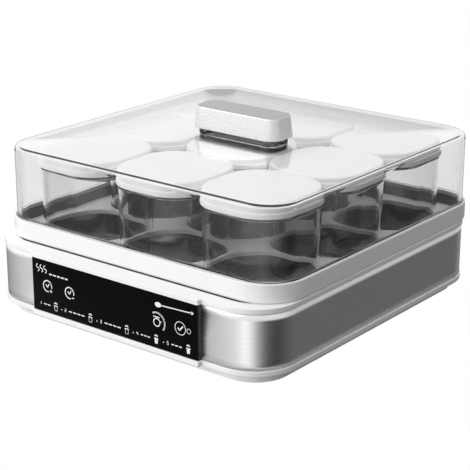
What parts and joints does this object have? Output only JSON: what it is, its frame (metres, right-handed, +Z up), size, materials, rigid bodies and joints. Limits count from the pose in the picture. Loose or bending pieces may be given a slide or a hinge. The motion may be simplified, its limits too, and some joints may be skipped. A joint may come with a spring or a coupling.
{
  "type": "yogurt maker",
  "caption": "Square yogurt maker: steel-banded base with a black front control panel, lidded glass jars in a heated tub, and a clear lift-off cover with a raised handle.",
  "frame": {"origin": "on the surface the feet stand on, below the middle of the base", "axes": "+X to the right along the panel face, +Y from the panel to the back, +Z up"},
  "size_m": [0.2414, 0.2606, 0.1346],
  "materials": {
    "white_moulding": "smooth gloss white",
    "brushed_steel_band": "brushed along the band",
    "dark_liner": "satin dark grey",
    "grey_tray": "satin grey",
    "aluminium_plate": "rolled",
    "heater_sheath": "oxidised",
    "sensor_resin": "cast resin",
    "fuse_ceramic": "unglazed",
    "insulation_felt": "needled felt",
    "circuit_board": "solder mask",
    "display_glass": "polished",
    "panel_black": "polished black",
    "gland_black": "moulded",
    "screw_steel": "zinc plated",
    "clear_cover": "polished clear",
    "smoked_plastic": "polished smoked",
    "brushed_cap": "brushed along its length",
    "foot_rubber": "moulded",
    "jar_glass": "clear pressed glass",
    "lid_white": "fine satin white"
  },
  "bodies": {
    "base": {"base_pan": "white_moulding", "steel_band": "brushed_steel_band", "collar": "white_moulding", "rim_ring": "white_moulding", "inner_tub": "dark_liner", "pot_tray": "grey_tray", "heating_plate": "aluminium_plate", "heating_element": "heater_sheath", "temperature_sensor": "sensor_resin", "thermal_fuse": "fuse_ceramic", "insulation_pad": "insulation_felt", "power_board": "circuit_board", "control_board": "circuit_board", "display_module": "display_glass", "panel_housing": "panel_black", "panel_glass": "panel_black", "cord_gland": "gland_black", "base_screws": "screw_steel", "board_screws": "screw_steel", "foot_front_left": "foot_rubber", "foot_front_right": "foot_rubber", "foot_rear_left": "foot_rubber", "foot_rear_right": "foot_rubber"},
    "cover": {"cover": "clear_cover", "handle_neck": "smoked_plastic", "handle_cap": "brushed_cap"},
    "jar_1": {"jar_1": "jar_glass"},
    "jar_lid_1": {"jar_lid_1": "lid_white"},
    "jar_2": {"jar_2": "jar_glass"},
    "jar_lid_2": {"jar_lid_2": "lid_white"},
    "jar_3": {"jar_3": "jar_glass"},
    "jar_lid_3": {"jar_lid_3": "lid_white"},
    "jar_4": {"jar_4": "jar_glass"},
    "jar_lid_4": {"jar_lid_4": "lid_white"},
    "jar_5": {"jar_5": "jar_glass"},
    "jar_lid_5": {"jar_lid_5": "lid_white"},
    "jar_6": {"jar_6": "jar_glass"},
    "jar_lid_6": {"jar_lid_6": "lid_white"},
    "jar_7": {"jar_7": "jar_glass"},
    "jar_lid_7": {"jar_lid_7": "lid_white"},
    "jar_8": {"jar_8": "jar_glass"},
    "jar_lid_8": {"jar_lid_8": "lid_white"},
    "jar_9": {"jar_9": "jar_glass"},
    "jar_lid_9": {"jar_lid_9": "lid_white"}
  },
  "joints": [
    {"name": "cover_lift", "type": "slide", "parent": "base", "child": "cover", "axis": [0, 0, 1], "range_m": [0, 0.15]},
    {"name": "jar_1_lift", "type": "slide", "parent": "base", "child": "jar_1", "axis": [0, 0, 1], "range_m": [0, 0.06]},
    {"name": "jar_lid_1_lift", "type": "slide", "parent": "jar_1", "child": "jar_lid_1", "axis": [0, 0, 1], "range_m": [0, 0.0225]},
    {"name": "jar_2_lift", "type": "slide", "parent": "base", "child": "jar_2", "axis": [0, 0, 1], "range_m": [0, 0.06]},
    {"name": "jar_lid_2_lift", "type": "slide", "parent": "jar_2", "child": "jar_lid_2", "axis": [0, 0, 1], "range_m": [0, 0.0225]},
    {"name": "jar_3_lift", "type": "slide", "parent": "base", "child": "jar_3", "axis": [0, 0, 1], "range_m": [0, 0.06]},
    {"name": "jar_lid_3_lift", "type": "slide", "parent": "jar_3", "child": "jar_lid_3", "axis": [0, 0, 1], "range_m": [0, 0.0225]},
    {"name": "jar_4_lift", "type": "slide", "parent": "base", "child": "jar_4", "axis": [0, 0, 1], "range_m": [0, 0.06]},
    {"name": "jar_lid_4_lift", "type": "slide", "parent": "jar_4", "child": "jar_lid_4", "axis": [0, 0, 1], "range_m": [0, 0.0225]},
    {"name": "jar_5_lift", "type": "slide", "parent": "base", "child": "jar_5", "axis": [0, 0, 1], "range_m": [0, 0.06]},
    {"name": "jar_lid_5_lift", "type": "slide", "parent": "jar_5", "child": "jar_lid_5", "axis": [0, 0, 1], "range_m": [0, 0.0225]},
    {"name": "jar_6_lift", "type": "slide", "parent": "base", "child": "jar_6", "axis": [0, 0, 1], "range_m": [0, 0.06]},
    {"name": "jar_lid_6_lift", "type": "slide", "parent": "jar_6", "child": "jar_lid_6", "axis": [0, 0, 1], "range_m": [0, 0.0225]},
    {"name": "jar_7_lift", "type": "slide", "parent": "base", "child": "jar_7", "axis": [0, 0, 1], "range_m": [0, 0.06]},
    {"name": "jar_lid_7_lift", "type": "slide", "parent": "jar_7", "child": "jar_lid_7", "axis": [0, 0, 1], "range_m": [0, 0.0225]},
    {"name": "jar_8_lift", "type": "slide", "parent": "base", "child": "jar_8", "axis": [0, 0, 1], "range_m": [0, 0.06]},
    {"name": "jar_lid_8_lift", "type": "slide", "parent": "jar_8", "child": "jar_lid_8", "axis": [0, 0, 1], "range_m": [0, 0.0225]},
    {"name": "jar_9_lift", "type": "slide", "parent": "base", "child": "jar_9", "axis": [0, 0, 1], "range_m": [0, 0.06]},
    {"name": "jar_lid_9_lift", "type": "slide", "parent": "jar_9", "child": "jar_lid_9", "axis": [0, 0, 1], "range_m": [0, 0.0225]}
  ],
  "couplings": [
    {"joint": "jar_1_lift", "follows": "cover_lift", "ratio": 0.4},
    {"joint": "jar_lid_1_lift", "follows": "cover_lift", "ratio": 0.15},
    {"joint": "jar_2_lift", "follows": "cover_lift", "ratio": 0.4},
    {"joint": "jar_lid_2_lift", "follows": "cover_lift", "ratio": 0.15},
    {"joint": "jar_3_lift", "follows": "cover_lift", "ratio": 0.4},
    {"joint": "jar_lid_3_lift", "follows": "cover_lift", "ratio": 0.15},
    {"joint": "jar_4_lift", "follows": "cover_lift", "ratio": 0.4},
    {"joint": "jar_lid_4_lift", "follows": "cover_lift", "ratio": 0.15},
    {"joint": "jar_5_lift", "follows": "cover_lift", "ratio": 0.4},
    {"joint": "jar_lid_5_lift", "follows": "cover_lift", "ratio": 0.15},
    {"joint": "jar_6_lift", "follows": "cover_lift", "ratio": 0.4},
    {"joint": "jar_lid_6_lift", "follows": "cover_lift", "ratio": 0.15},
    {"joint": "jar_7_lift", "follows": "cover_lift", "ratio": 0.4},
    {"joint": "jar_lid_7_lift", "follows": "cover_lift", "ratio": 0.15},
    {"joint": "jar_8_lift", "follows": "cover_lift", "ratio": 0.4},
    {"joint": "jar_lid_8_lift", "follows": "cover_lift", "ratio": 0.15},
    {"joint": "jar_9_lift", "follows": "cover_lift", "ratio": 0.4},
    {"joint": "jar_lid_9_lift", "follows": "cover_lift", "ratio": 0.15}
  ]
}
